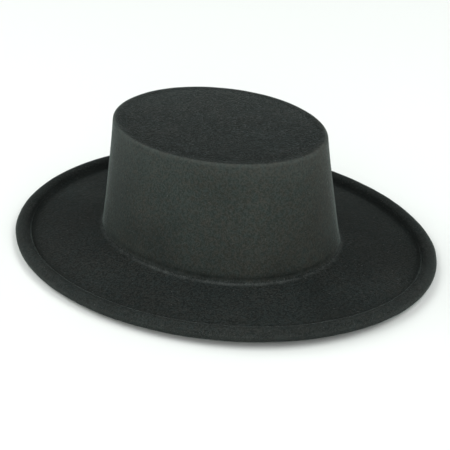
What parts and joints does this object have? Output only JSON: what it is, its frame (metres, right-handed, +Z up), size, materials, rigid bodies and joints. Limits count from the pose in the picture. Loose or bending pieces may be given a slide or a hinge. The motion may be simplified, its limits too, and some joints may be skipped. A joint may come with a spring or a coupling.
{
  "type": "gaucho hat",
  "caption": "Flat-crowned black felt hat with a tapering oval crown, a wide near-flat brim and an edge rolled up and over; the head goes in from below.",
  "frame": {"origin": "middle of the hat's outline, on the surface that it rests on", "axes": "+Z up, +Y from the wearer's face to the back of the head, along the hat's length; X across the hat"},
  "size_m": [0.3076, 0.364, 0.0999],
  "materials": {
    "black_felt": "matt wool felt with a short nap, pressed a little smoother on the crown's wall"
  },
  "bodies": {
    "root": {"felt_body": "black_felt"}
  },
  "joints": []
}
